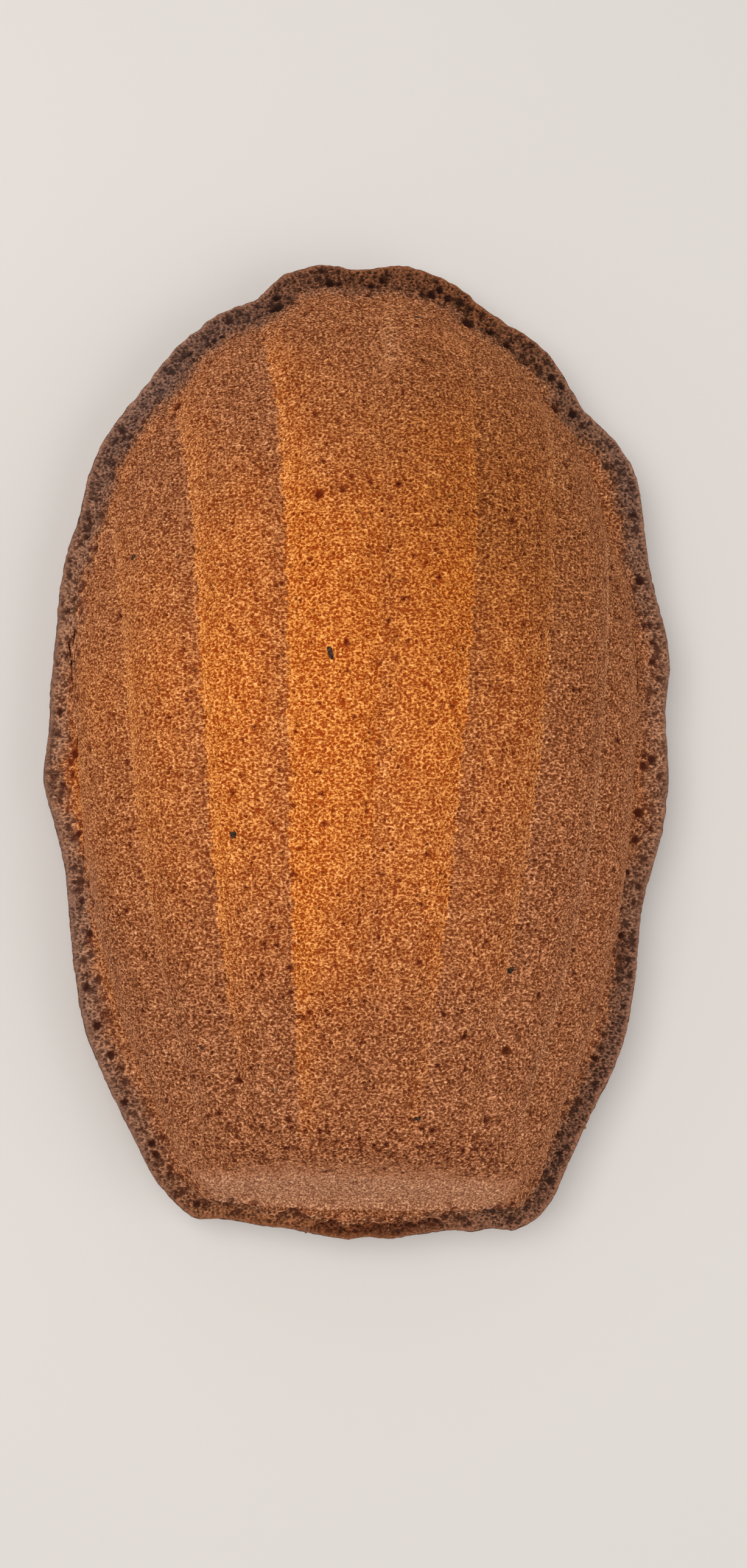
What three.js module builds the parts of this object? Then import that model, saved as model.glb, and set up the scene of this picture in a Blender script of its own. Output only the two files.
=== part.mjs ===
// A giant madeleine, baked in a shell mould and turned out with the fluted side up.
// Millimetres, +Z up, +Y towards the wide end. The cake is one solid: a fluted dome with a flat
// end wall at its narrow end, a thin uneven rim round the dome's foot, and the baked hump below.
import * as THREE from "three";
import { mergeVertices } from "three/addons/utils/BufferGeometryUtils.js";

// Heights, from the flat spot on which the hump rests.
const RIM_TOP = 16;
const RIM_THICKNESS = 3.6;
const DOME_HEIGHT = 47;

// The dome's foot, where the fluted wall meets the rim.
const FOOT_HALF_WIDTH = 65.4;
const FOOT_WIDE_END = 103.2;
const FOOT_NARROW_END = -103.5;
const NARROW_CORNERS_BACK = 1.2;
const NARROW_SKEW = 2;
const FAN_ANGLE = THREE.MathUtils.degToRad(80.8);
const FAN_SQUARENESS = 0.94;
const TAPER = 0.46;
const TAPER_POWER = 2.8;
const FOOT_SIDE_SHIFT = -1.1;

// The flutes: convex ribs with a sharp valley between each two.
const RIBS = 8;
const VALLEY_DEPTH = 2.6;
const RIB_SPREAD = 0.2;
const FAN_START_POWER = 3;
const VALLEY_START = 0.075;
const VALLEY_FULL = 0.175;
const VALLEY_FADES_FROM = 0.75;
const VALLEY_AT_WIDE_END = 0.45;
const CREST_SWAY = 8;
const SWAY_PIVOT = 0.45;

// The dome's profiles: across the ribs, and along them from the narrow end (0) to the wide end (1).
const CROSS_POWER = 2;
const WALL_POWER = 0.8;
const CROWN_AT = 0.54;
const NARROW_END_DROP = 0.43;
const END_WALL_SLOPE = THREE.MathUtils.degToRad(65);
const END_WALL_EDGE = 5;

// The rim: its plain width, and the places where the batter ran further out or stopped short,
// each by its bearing round the middle from +X, how far out it goes and how wide it spreads.
const RIM_WIDTH = 4.6;
const RIM_EDGE_ROUND = 1.2;
const RIM_BULGES = [
  { bearing: -90, out: 2.8, spread: 8 },
  { bearing: -89.5, out: -0.7, spread: 1.5 },
  { bearing: -77, out: 0.7, spread: 1.5 },
  { bearing: -70, out: 1.4, spread: 2.5 },
  { bearing: -67, out: 1.0, spread: 5 },
  { bearing: -52, out: 2.0, spread: 9 },
  { bearing: -39.5, out: 0.4, spread: 9 },
  { bearing: -32, out: -1.0, spread: 8 },
  { bearing: -18, out: 1.5, spread: 9 },
  { bearing: -5, out: 2.8, spread: 11 },
  { bearing: 14, out: 0.8, spread: 9 },
  { bearing: 21, out: 3.0, spread: 14 },
  { bearing: 37, out: 0.6, spread: 6 },
  { bearing: 48, out: 6.0, spread: 10 },
  { bearing: 58, out: -1.3, spread: 2.5 },
  { bearing: 66, out: 2.2, spread: 8 },
  { bearing: 71, out: 1.1, spread: 9 },
  { bearing: 72.5, out: -0.6, spread: 2.5 },
  { bearing: 79, out: 0.6, spread: 2.5 },
  { bearing: 84, out: 3.8, spread: 6 },
  { bearing: 91, out: -1.2, spread: 2.5 },
  { bearing: 92.5, out: 1.8, spread: 2.5 },
  { bearing: 97, out: 2.6, spread: 4.5 },
  { bearing: 102, out: -0.9, spread: 1.5 },
  { bearing: 105, out: -1.5, spread: 4 },
  { bearing: 107, out: 1.0, spread: 2.5 },
  { bearing: 120, out: -0.6, spread: 2.5 },
  { bearing: 130.5, out: 1.1, spread: 6 },
  { bearing: 140.5, out: -0.6, spread: 2.5 },
  { bearing: 164, out: -1.3, spread: 10 },
  { bearing: 169, out: 0.5, spread: 4 },
  { bearing: -173, out: 1.5, spread: 6 },
  { bearing: -155, out: -1.7, spread: 10 },
  { bearing: -132.5, out: 0.9, spread: 6 },
  { bearing: -122, out: 1.5, spread: 14 },
  { bearing: -113.5, out: 1.0, spread: 4 },
  { bearing: -107, out: -0.7, spread: 2.5 },
];

// The hump below the rim swells down to a small oval flat spot, on which the cake rests.
const FLAT_HALF_WIDTH = 28;
const FLAT_HALF_LENGTH = 48;

// How finely the surface is divided.
const STEPS_PER_RIB = 8;
const STEPS_ALONG = 44;
const END_CROWDING = 0.55;
const HUMP_STEPS = 6;

const HALF_RIBS = RIBS / 2;
const HUMP_TOP = RIM_TOP - RIM_THICKNESS;

// The foot's wide end is an arc of a squared-off ellipse: its point where a rib line ends.
function fanEnd(rib) {
  const angle = (rib / HALF_RIBS) * FAN_ANGLE;
  const across = Math.sign(angle) * Math.abs(Math.sin(angle)) ** FAN_SQUARENESS;
  const along = Math.cos(angle) ** FAN_SQUARENESS;
  return { x: FOOT_HALF_WIDTH * across, y: FOOT_WIDE_END * along };
}

const FOOT_SIDE = fanEnd(HALF_RIBS).x;

function narrowEndY(rib) {
  const share = rib / HALF_RIBS;
  return FOOT_NARROW_END + NARROW_CORNERS_BACK * share ** 2 - NARROW_SKEW * share;
}

// The plan: rib runs from -4 (left side) over 0 (middle valley) to 4, and along from 0 to 1.
function planPoint(rib, along) {
  const share = rib / HALF_RIBS;
  const end = fanEnd(rib);
  const even = share * (1 + RIB_SPREAD * (1 - share ** 2));
  const fanned = end.x / FOOT_SIDE;
  const across = even + (fanned - even) * along ** FAN_START_POWER;
  const halfWidth = FOOT_SIDE * (1 - TAPER * (1 - along) ** TAPER_POWER);
  const sway = CREST_SWAY * (along - SWAY_PIVOT) * (1 - along ** 12) * (1 - share ** 2);
  const start = narrowEndY(rib);
  return { x: halfWidth * across + sway + FOOT_SIDE_SHIFT, y: start + along * (end.y - start) };
}

// The smooth dome without its flutes, cut off at the narrow end by the sloping wall.
function domePoint(rib, along) {
  const { x, y } = planPoint(rib, along);
  const across = Math.max(0, 1 - Math.abs(rib / HALF_RIBS) ** CROSS_POWER) ** WALL_POWER;
  const toWideEnd = Math.max(0, (along - CROWN_AT) / (1 - CROWN_AT));
  const toNarrowEnd = Math.max(0, (CROWN_AT - along) / CROWN_AT);
  const wideFall = Math.max(0, 1 - toWideEnd ** 2) ** WALL_POWER;
  const arch = DOME_HEIGHT * across * (wideFall - NARROW_END_DROP * toNarrowEnd ** 2);
  const wall = (y - narrowEndY(rib)) * Math.tan(END_WALL_SLOPE);
  if (arch < 1e-6 || wall < 1e-6) return new THREE.Vector3(x, y, RIM_TOP);
  const height = (arch ** -END_WALL_EDGE + wall ** -END_WALL_EDGE) ** (-1 / END_WALL_EDGE);
  return new THREE.Vector3(x, y, RIM_TOP + height);
}

function domeNormal(rib, along) {
  const step = 1e-3;
  const r = THREE.MathUtils.clamp(rib, -HALF_RIBS + 0.05, HALF_RIBS - 0.05);
  const a = THREE.MathUtils.clamp(along, 0.01, 0.985);
  const acrossRibs = domePoint(r + step, a).sub(domePoint(r - step, a));
  const alongRibs = domePoint(r, a + step).sub(domePoint(r, a - step));
  return acrossRibs.cross(alongRibs).normalize();
}

// The crust: the dome pressed in along the valleys, full height on the crest of each rib.
function crustPoint(rib, along) {
  const point = domePoint(rib, along);
  const ribNumber = Math.min(Math.floor(Math.abs(rib)), HALF_RIBS - 1);
  const fromCrest = 2 * (Math.abs(rib) - ribNumber) - 1;
  const start = THREE.MathUtils.smoothstep(along, VALLEY_START, VALLEY_FULL);
  const toWideEnd = THREE.MathUtils.smoothstep(along, VALLEY_FADES_FROM, 1);
  const fade = start * (1 - (1 - VALLEY_AT_WIDE_END) * toWideEnd);
  const onFoot = point.z <= RIM_TOP;
  point.addScaledVector(domeNormal(rib, along), -VALLEY_DEPTH * fromCrest ** 2 * fade);
  if (onFoot) point.z = RIM_TOP;
  return point;
}

function rimWidth(x, y) {
  const bearing = THREE.MathUtils.radToDeg(Math.atan2(y, x));
  let width = RIM_WIDTH;
  for (const bulge of RIM_BULGES) {
    const away = THREE.MathUtils.euclideanModulo(bearing - bulge.bearing + 180, 360) - 180;
    width += bulge.out * Math.exp(-((away / bulge.spread) ** 2));
  }
  return width;
}

// Steps along the ribs lie closer together at both ends, where the wall is steep.
function alongAt(step) {
  const even = step / STEPS_ALONG;
  return even - (END_CROWDING * Math.sin(2 * Math.PI * even)) / (2 * Math.PI);
}

function ribAt(step) {
  return step / STEPS_PER_RIB - HALF_RIBS;
}

// Once round the foot, anticlockwise from above: narrow end, right side, wide end, left side.
function footSteps() {
  const across = RIBS * STEPS_PER_RIB;
  const steps = [];
  for (let i = 0; i < across; i++) steps.push([ribAt(i), 0]);
  for (let j = 0; j < STEPS_ALONG; j++) steps.push([HALF_RIBS, alongAt(j)]);
  for (let i = across; i > 0; i--) steps.push([ribAt(i), 1]);
  for (let j = STEPS_ALONG; j > 0; j--) steps.push([-HALF_RIBS, alongAt(j)]);
  return steps;
}

// The rim's outline in plan: the foot's own line moved outwards by the rim's width there.
function rimOutline(steps) {
  const foot = steps.map(([rib, along]) => planPoint(rib, along));
  const count = foot.length;
  const offset = foot.map((point, i) => {
    const before = foot[(i + count - 1) % count];
    const after = foot[(i + 1) % count];
    const outward = new THREE.Vector2(after.y - before.y, before.x - after.x).normalize();
    return outward.multiplyScalar(rimWidth(point.x, point.y)).add(new THREE.Vector2(point.x, point.y));
  });
  return smoothedLoop(offset);
}

function smoothedLoop(loop) {
  const count = loop.length;
  return loop.map((point, i) => {
    const neighbours = loop[(i + count - 1) % count].clone().add(loop[(i + 1) % count]);
    return neighbours.multiplyScalar(0.25).addScaledVector(point, 0.5);
  });
}

// A strip of triangles between two loops of equal length, seen from outside.
function addStrip(triangles, upper, lower) {
  const count = upper.length;
  for (let i = 0; i < count; i++) {
    const next = (i + 1) % count;
    triangles.push(upper[i], lower[i], lower[next]);
    triangles.push(upper[i], lower[next], upper[next]);
  }
}

function addCrust(triangles) {
  const across = RIBS * STEPS_PER_RIB;
  const rows = [];
  for (let j = 0; j <= STEPS_ALONG; j++) {
    const row = [];
    for (let i = 0; i <= across; i++) row.push(crustPoint(ribAt(i), alongAt(j)));
    rows.push(row);
  }
  for (let j = 0; j < STEPS_ALONG; j++) {
    for (let i = 0; i < across; i++) {
      const [a, b] = [rows[j][i], rows[j][i + 1]];
      const [d, c] = [rows[j + 1][i], rows[j + 1][i + 1]];
      triangles.push(a, b, c, a, c, d);
    }
  }
}

// The hump's contours start as the rim's own outline and grow into the flat spot's oval.
function humpPoint(rimPoint, inward) {
  const bearing = Math.atan2(rimPoint.y * FLAT_HALF_WIDTH, rimPoint.x * FLAT_HALF_LENGTH);
  const x = THREE.MathUtils.lerp(rimPoint.x, FLAT_HALF_WIDTH * Math.cos(bearing), inward);
  const y = THREE.MathUtils.lerp(rimPoint.y, FLAT_HALF_LENGTH * Math.sin(bearing), inward);
  return new THREE.Vector3(x, y, HUMP_TOP * (1 - Math.sin((inward * Math.PI) / 2)));
}

function addRimAndHump(triangles) {
  const steps = footSteps();
  const outline = rimOutline(steps);
  const foot = steps.map(([rib, along]) => crustPoint(rib, along));
  const inset = (i, distance, z) => {
    const towardsFoot = new THREE.Vector2(foot[i].x, foot[i].y).sub(outline[i]).setLength(distance);
    return new THREE.Vector3(outline[i].x + towardsFoot.x, outline[i].y + towardsFoot.y, z);
  };
  const edgeTop = outline.map((_, i) => inset(i, RIM_EDGE_ROUND, RIM_TOP - 0.3));
  const edge = outline.map((point) => new THREE.Vector3(point.x, point.y, RIM_TOP - RIM_THICKNESS / 2));
  const edgeBottom = outline.map((_, i) => inset(i, RIM_EDGE_ROUND, HUMP_TOP));
  addStrip(triangles, foot, edgeTop);
  addStrip(triangles, edgeTop, edge);
  addStrip(triangles, edge, edgeBottom);

  let ring = edgeBottom;
  for (let k = 1; k <= HUMP_STEPS; k++) {
    const next = edgeBottom.map((point) => humpPoint(point, k / HUMP_STEPS));
    addStrip(triangles, ring, next);
    ring = next;
  }
  const middle = new THREE.Vector3(0, 0, ring[0].z);
  ring.forEach((point, i) => triangles.push(point, middle, ring[(i + 1) % ring.length]));
}

// The whole skin as one closed body, its origin under the middle of its outline.
function cakeGeometry() {
  const triangles = [];
  addCrust(triangles);
  addRimAndHump(triangles);
  const geometry = mergeVertices(new THREE.BufferGeometry().setFromPoints(triangles), 1e-3);
  geometry.computeBoundingBox();
  const box = geometry.boundingBox;
  geometry.translate(-(box.min.x + box.max.x) / 2, -(box.min.y + box.max.y) / 2, -box.min.z);
  geometry.computeVertexNormals();
  return geometry;
}

const crust = new THREE.MeshStandardMaterial({ color: 0xa8642f, roughness: 0.85, metalness: 0 });
const cake = new THREE.Mesh(cakeGeometry(), crust);
cake.name = "madeleine";

const part = new THREE.Group();
part.add(cake);

export default part;
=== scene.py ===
# %% [markdown]
# # A giant madeleine, fluted side up
# The real cake is baked in a shell mould and turned out upside down. So its top is the mould's fluted
# bowl, its narrow end is a flat wall, and the batter that crept over the mould's edge is a thin dark rim.
# The solid model fixes the shape and the size. This lesson gives it a crust: an open crumb of tiny
# pores, modelled one by one, and the colours that the oven leaves, with some light and shade painted on.

# %% Load the solid model
import math

import bmesh
import bpy
import numpy as np
from mathutils import Euler, Matrix, Vector, noise
from mathutils.geometry import delaunay_2d_cdt
from mathutils.kdtree import KDTree


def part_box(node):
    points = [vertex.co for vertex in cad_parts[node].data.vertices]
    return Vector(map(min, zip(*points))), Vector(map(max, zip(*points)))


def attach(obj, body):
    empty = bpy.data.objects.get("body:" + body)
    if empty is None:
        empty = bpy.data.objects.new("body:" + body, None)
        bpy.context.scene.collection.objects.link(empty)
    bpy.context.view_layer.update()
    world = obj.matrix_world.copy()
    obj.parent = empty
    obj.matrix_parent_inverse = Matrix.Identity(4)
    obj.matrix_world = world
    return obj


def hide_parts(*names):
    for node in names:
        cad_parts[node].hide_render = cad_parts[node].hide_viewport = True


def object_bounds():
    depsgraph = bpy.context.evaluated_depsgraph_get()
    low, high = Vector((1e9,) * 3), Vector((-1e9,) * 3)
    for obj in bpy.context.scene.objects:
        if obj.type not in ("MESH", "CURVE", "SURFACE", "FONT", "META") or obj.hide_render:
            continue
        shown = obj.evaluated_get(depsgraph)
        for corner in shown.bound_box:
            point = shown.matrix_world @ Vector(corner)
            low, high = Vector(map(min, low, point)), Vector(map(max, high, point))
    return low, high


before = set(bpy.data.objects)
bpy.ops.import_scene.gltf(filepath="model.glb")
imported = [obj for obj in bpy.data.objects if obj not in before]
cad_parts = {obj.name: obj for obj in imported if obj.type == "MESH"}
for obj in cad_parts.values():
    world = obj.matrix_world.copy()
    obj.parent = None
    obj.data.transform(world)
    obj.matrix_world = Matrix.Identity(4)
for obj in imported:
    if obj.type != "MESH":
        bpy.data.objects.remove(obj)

MM = 0.001
CAD_BOX = [list(corner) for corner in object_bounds()]
CAKE_LOW, CAKE_HIGH = (np.array(corner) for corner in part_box("madeleine"))


def in_mm(metres, digits=1):
    return np.round(np.asarray(metres, float) / MM, digits).tolist()


def show(piece):
    """Puts an object into the scene."""
    bpy.context.scene.collection.objects.link(piece)
    return piece


print("cake in mm:", in_mm(CAKE_HIGH - CAKE_LOW))

# %% [markdown]
# ## Camera
# The view looks almost straight down, as one looks at a cake on the table. The camera stands a little to
# the left of the cake and towards its narrow end, and the frame is tall.

# %% Camera
CAMERA_PLACE = Vector((-36.4, -34.94, 428.4)) * MM
CAMERA_TURN = Euler((math.radians(3.6), math.radians(-5.35), math.radians(-0.34)))
LENS = 42.32

camera_data = bpy.data.cameras.new("camera")
camera_data.lens = LENS
camera = bpy.data.objects.new("camera", camera_data)
camera.location = CAMERA_PLACE
camera.rotation_euler = CAMERA_TURN
show(camera)
bpy.context.scene.camera = camera
print("camera in mm:", in_mm(camera.location))

# %% [markdown]
# ## The dome as a formula
# The dome could be sculpted by hand, but a mould is a regular thing: eight convex ribs that fan out from
# the narrow end. So each point of the dome is worked out from two numbers. `rib` runs across, from -4 at
# the left foot over 0 in the middle valley to 4 at the right foot. `along` runs from 0 at the narrow end
# to 1 at the wide end. The sizes are those of the solid model.

# %% Plan of the ribs
RIM_TOP = 16 * MM
RIM_THICKNESS = 3.6 * MM
DOME_HEIGHT = 47 * MM
FOOT_HALF_WIDTH = 65.4 * MM
FOOT_WIDE_END = 103.2 * MM
FOOT_NARROW_END = -103.5 * MM
NARROW_CORNERS_BACK = 1.2 * MM
NARROW_SKEW = 2 * MM
FAN_ANGLE = math.radians(80.8)
FAN_SQUARENESS = 0.94
TAPER = 0.46
TAPER_POWER = 2.8
FOOT_SIDE_SHIFT = -1.1 * MM
HALF_RIBS = 4
RIB_SPREAD = 0.2
FAN_START_POWER = 3
CREST_SWAY = 8 * MM
SWAY_PIVOT = 0.45
SWAY_STOP_POWER = 12


def fan_end(rib):
    """Where a rib line ends on the rounded wide end."""
    angle = rib / HALF_RIBS * FAN_ANGLE
    across = np.sign(angle) * np.abs(np.sin(angle)) ** FAN_SQUARENESS
    return FOOT_HALF_WIDTH * across, FOOT_WIDE_END * np.cos(angle) ** FAN_SQUARENESS


def narrow_end_y(rib):
    share = rib / HALF_RIBS
    return FOOT_NARROW_END + NARROW_CORNERS_BACK * share**2 - NARROW_SKEW * share


def plan_point(rib, along):
    share = rib / HALF_RIBS
    end_x, end_y = fan_end(rib)
    foot_side = fan_end(float(HALF_RIBS))[0]
    even = share * (1 + RIB_SPREAD * (1 - share**2))
    across = even + (end_x / foot_side - even) * along**FAN_START_POWER
    half_width = foot_side * (1 - TAPER * (1 - along) ** TAPER_POWER)
    sway = CREST_SWAY * (along - SWAY_PIVOT) * (1 - along**SWAY_STOP_POWER) * (1 - share**2)
    start = narrow_end_y(rib)
    return half_width * across + sway + FOOT_SIDE_SHIFT, start + along * (end_y - start)


print("foot at the widest in mm:", in_mm(2 * fan_end(4.0)[0]))

# %% Height of the dome and its flutes
VALLEY_DEPTH = 2.6 * MM
VALLEY_START = 0.075
VALLEY_FULL = 0.175
VALLEY_FADES_FROM = 0.75
VALLEY_AT_WIDE_END = 0.45
CROSS_POWER = 2
WALL_POWER = 0.8
CROWN_AT = 0.54
NARROW_END_DROP = 0.43
END_WALL_SLOPE = math.radians(65)
END_WALL_EDGE = 5
TINY = 1e-9
ON_FOOT = 1e-6
NORMAL_STEP = 1e-3
NORMAL_RIBS = HALF_RIBS - 0.05
NORMAL_ALONG = (0.01, 0.985)


def smoothstep(value, low, high):
    t = np.clip((value - low) / (high - low), 0, 1)
    return t * t * (3 - 2 * t)


def dome_point(rib, along):
    """The smooth dome, cut off at its narrow end by the sloping wall."""
    x, y = plan_point(rib, along)
    across = np.maximum(0, 1 - np.abs(rib / HALF_RIBS) ** CROSS_POWER) ** WALL_POWER
    to_wide_end = np.maximum(0, (along - CROWN_AT) / (1 - CROWN_AT))
    to_narrow_end = np.maximum(0, (CROWN_AT - along) / CROWN_AT)
    wide_fall = np.maximum(0, 1 - to_wide_end**2) ** WALL_POWER
    arch = DOME_HEIGHT * across * (wide_fall - NARROW_END_DROP * to_narrow_end**2)
    wall = (y - narrow_end_y(rib)) * math.tan(END_WALL_SLOPE)
    arch = np.maximum(arch, TINY) / DOME_HEIGHT
    wall = np.maximum(wall, TINY) / DOME_HEIGHT
    height = DOME_HEIGHT * (arch**-END_WALL_EDGE + wall**-END_WALL_EDGE) ** (-1 / END_WALL_EDGE)
    return np.stack([x, y, RIM_TOP + height], -1)


def crust_point(rib, along):
    """The dome pressed in along its valleys, and full on the crest of each rib."""
    r = np.clip(rib, -NORMAL_RIBS, NORMAL_RIBS)
    a = np.clip(along, *NORMAL_ALONG)
    across_ribs = dome_point(r + NORMAL_STEP, a) - dome_point(r - NORMAL_STEP, a)
    along_ribs = dome_point(r, a + NORMAL_STEP) - dome_point(r, a - NORMAL_STEP)
    normal = np.cross(across_ribs, along_ribs)
    normal /= np.linalg.norm(normal, axis=-1, keepdims=True)
    from_crest = 2 * (np.abs(rib) - np.clip(np.floor(np.abs(rib)), 0, HALF_RIBS - 1)) - 1
    fade = smoothstep(along, VALLEY_START, VALLEY_FULL)
    fade *= 1 - (1 - VALLEY_AT_WIDE_END) * smoothstep(along, VALLEY_FADES_FROM, 1)
    smooth = dome_point(rib, along)
    point = smooth - normal * (VALLEY_DEPTH * from_crest**2 * fade)[..., None]
    on_foot = smooth[..., 2] <= RIM_TOP + ON_FOOT
    point[..., 2] = np.where(on_foot, RIM_TOP, point[..., 2])
    return point


print("crown in mm:", in_mm(dome_point(np.float64(0), np.float64(CROWN_AT))[2]))

# %% [markdown]
# ## The rim
# Batter that spread over the mould's edge baked into a thin ledge. It is 3 to 10 mm wide, with lobes
# where it ran further. Its outline is the foot's own line moved outwards by a width that depends on the
# bearing round the cake's middle, so every lobe is one entry: where it is, how far out, how wide.

# %% Outline of the rim
RIM_WIDTH = 4.6 * MM
RIM_LOBES = [  # bearing in degrees, how far out in mm, how wide in degrees
    (-90, 2.8, 8), (-89.5, -0.7, 1.5), (-77, 0.7, 1.5), (-70, 1.4, 2.5), (-67, 1, 5), (-52, 2, 9),
    (-39.5, 0.4, 9), (-32, -1, 8), (-18, 1.5, 9), (-5, 2.8, 11), (14, 0.8, 9), (21, 3, 14),
    (37, 0.6, 6), (48, 6, 10), (58, -1.3, 2.5), (66, 2.2, 8), (71, 1.1, 9), (72.5, -0.6, 2.5),
    (79, 0.6, 2.5), (84, 3.8, 6), (91, -1.2, 2.5), (92.5, 1.8, 2.5), (97, 2.6, 4.5), (102, -0.9, 1.5),
    (105, -1.5, 4), (107, 1, 2.5), (120, -0.6, 2.5), (130.5, 1.1, 6), (140.5, -0.6, 2.5),
    (164, -1.3, 10), (169, 0.5, 4), (-173, 1.5, 6), (-155, -1.7, 10), (-132.5, 0.9, 6), (-122, 1.5, 14),
    (-113.5, 1, 4), (-107, -0.7, 2.5),
]
LOOP_STEPS = 1600
SMOOTHING_ROUNDS = 14
OUTLINE_CRUMBLE = {2.4 * MM: 0.35 * MM, 5.5 * MM: 0.3 * MM}
CRUMBLE_SEED = 20
CRUMBLE_AT_SIDES = 0.4
CRUMBLE_GROWS = (40 * MM, 90 * MM)
ROWS_CROWDED = 0.55
MAP_SIDES = 4
SEED_STEPS = (3.7, 1.3, 7.1)


def border_map(place):
    """The point of a square's border, from -1 to 1 both ways, at a place from 0 to 8 round it."""
    side = np.floor(place / 2) % MAP_SIDES
    on_side = [side == 0, side == 1, side == 2]
    f = place % 2 - 1
    one = np.ones_like(f)
    return np.select(on_side, [f, one, -f], -one), np.select(on_side, [-one, f, one], -f)


def out_on_map(u, v):
    """How far out on the map a point lies: 1 is the dome's foot."""
    return np.maximum(np.abs(u), np.abs(v))


def border_place(u, v):
    """The other way: how far round the square's border the point in that direction lies."""
    reach = np.maximum(out_on_map(u, v), TINY)
    a, b = u / reach, v / reach
    flat = np.abs(v) >= np.abs(u)
    return np.select([flat & (b < 0), ~flat & (a > 0), flat & (b > 0)], [a + 1, 3 + b, 5 - a], 7 - b)


def rib_of(u):
    return HALF_RIBS * u


def along_of(v):
    """Rows lie closer together at both ends, where the wall is steep."""
    even = (v + 1) / 2
    return np.clip(even - ROWS_CROWDED * np.sin(2 * np.pi * even) / (2 * np.pi), 0, 1)


def rim_width(x, y):
    bearing = np.degrees(np.arctan2(y, x))
    width = np.full_like(bearing, RIM_WIDTH)
    for lobe_bearing, out, spread in RIM_LOBES:
        away = (bearing - lobe_bearing + 180) % 360 - 180
        width += out * MM * np.exp(-((away / spread) ** 2))
    return width


def wave(points, length, seed):
    """Smooth noise from -1 to 1, with bumps of about that length."""
    shift = Vector([seed * step for step in SEED_STEPS])
    return np.array([noise.noise(Vector(p) / length + shift) for p in points])


loop_places = np.arange(LOOP_STEPS) / LOOP_STEPS * 2 * MAP_SIDES
loop_u, loop_v = border_map(loop_places)
foot_x, foot_y = plan_point(rib_of(loop_u), along_of(loop_v))
foot_line = np.stack([foot_x, foot_y], -1)
tangent = np.roll(foot_line, -1, 0) - np.roll(foot_line, 1, 0)
outward = np.stack([tangent[:, 1], -tangent[:, 0]], -1)
outward /= np.linalg.norm(outward, axis=1, keepdims=True)
outline = foot_line + outward * rim_width(foot_x, foot_y)[:, None]
for _ in range(SMOOTHING_ROUNDS):
    outline = (np.roll(outline, 1, 0) + 2 * outline + np.roll(outline, -1, 0)) / 4
crumbly = CRUMBLE_AT_SIDES + (1 - CRUMBLE_AT_SIDES) * smoothstep(outline[:, 1], *CRUMBLE_GROWS)
flat_outline = np.column_stack([outline, np.zeros(LOOP_STEPS)])
for number, (length, height) in enumerate(OUTLINE_CRUMBLE.items()):
    outline += outward * (height * wave(flat_outline, length, CRUMBLE_SEED + number) * crumbly)[:, None]
outline_low, outline_high = outline.min(0), outline.max(0)
CENTRING = (CAKE_LOW + CAKE_HIGH)[:2] / 2 - (outline_low + outline_high) / 2
print("outline in mm:", in_mm(outline_high - outline_low, 2), "moved by", in_mm(CENTRING, 2))

# %% [markdown]
# ## A flat map of the whole top
# Pores have to be spread evenly over a surface that is steep at its sides and flat on its crown. The
# square map helps: from -1 to 1 both ways it is the dome, and the narrow margin round it is the rim.
# Every point of the map has one place on the cake, so the top can be scattered and joined on the map and
# then stood up.

# %% From the map to the cake
RIM_MARGIN = 0.09
RIM_EDGE_ROUND = 0.7 * MM
RIM_CREST = 0.5 * MM
RIM_FALL = 0.3 * MM
FILLET_HEIGHT = 2.6 * MM
FILLET_SHARE = 0.6


def outline_at(place):
    return np.stack([np.interp(place, loop_places, line, period=2 * MAP_SIDES) for line in outline.T], -1)


def rim_share_of(u, v):
    """0 on the dome, growing to 1 at the rim's outer line."""
    return np.clip((out_on_map(u, v) - 1) / RIM_MARGIN, 0, 1)


def top_point(u, v):
    """The place on the cake: the crust's own up to its foot, and from there out to the rim's edge."""
    share = rim_share_of(u, v)
    reach = np.maximum(out_on_map(u, v), 1)
    point = crust_point(rib_of(u / reach), along_of(v / reach))
    edge = outline_at(border_place(u, v))
    inwards = point[..., :2] - edge
    length = np.linalg.norm(inwards, axis=-1, keepdims=True)
    edge = edge + inwards / np.maximum(length, TINY) * RIM_EDGE_ROUND
    point[..., :2] += (edge - point[..., :2]) * share[..., None]
    point[..., :2] += CENTRING
    swell = RIM_CREST * np.sin(np.pi * share) * share - RIM_FALL * share**2
    fillet = FILLET_HEIGHT * np.maximum(0, 1 - share / FILLET_SHARE) ** 2
    above_foot = np.maximum(0, point[..., 2] - RIM_TOP)
    wall = point[..., 2] + FILLET_HEIGHT * np.exp(-above_foot / FILLET_HEIGHT)
    point[..., 2] = np.where(share > 0, RIM_TOP + swell + fillet, wall)
    return point


# %% [markdown]
# ## Scattering the pores
# The crumb is a foam. Its pores are about 1 mm across, none lies on another, and no two are alike. That
# is what Poisson disk scattering gives: random points that keep a least distance. Geometry Nodes do it on
# the surface itself, so a steep wall gets as many pores as the crown.

# %% Sheets to scatter on
ROWS_ACROSS = 160
ROWS_ALONG = 150
MARGIN_LINES = np.array([0.5, 1.0]) * RIM_MARGIN + 1


def new_mesh_object(name, points, faces):
    mesh = bpy.data.meshes.new(name)
    mesh.from_pydata([tuple(p) for p in points], [], [tuple(f) for f in faces])
    return show(bpy.data.objects.new(name, mesh))


def set_values(piece, name, values, kind="FLOAT", field="value"):
    """Keeps a number or a vector for each vertex, for materials and Geometry Nodes to read."""
    attribute = piece.data.attributes.new(name, kind, "POINT")
    attribute.data.foreach_set(field, np.asarray(values, np.float32).ravel())


def grid_faces(rows, columns):
    index = np.arange(rows * columns).reshape(rows, columns)
    corners = [index[:-1, :-1], index[:-1, 1:], index[1:, 1:], index[1:, :-1]]
    return np.stack([c.ravel() for c in corners], -1)


def map_lines(count):
    return np.concatenate([-MARGIN_LINES[::-1], np.linspace(-1, 1, count), MARGIN_LINES])


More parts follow.
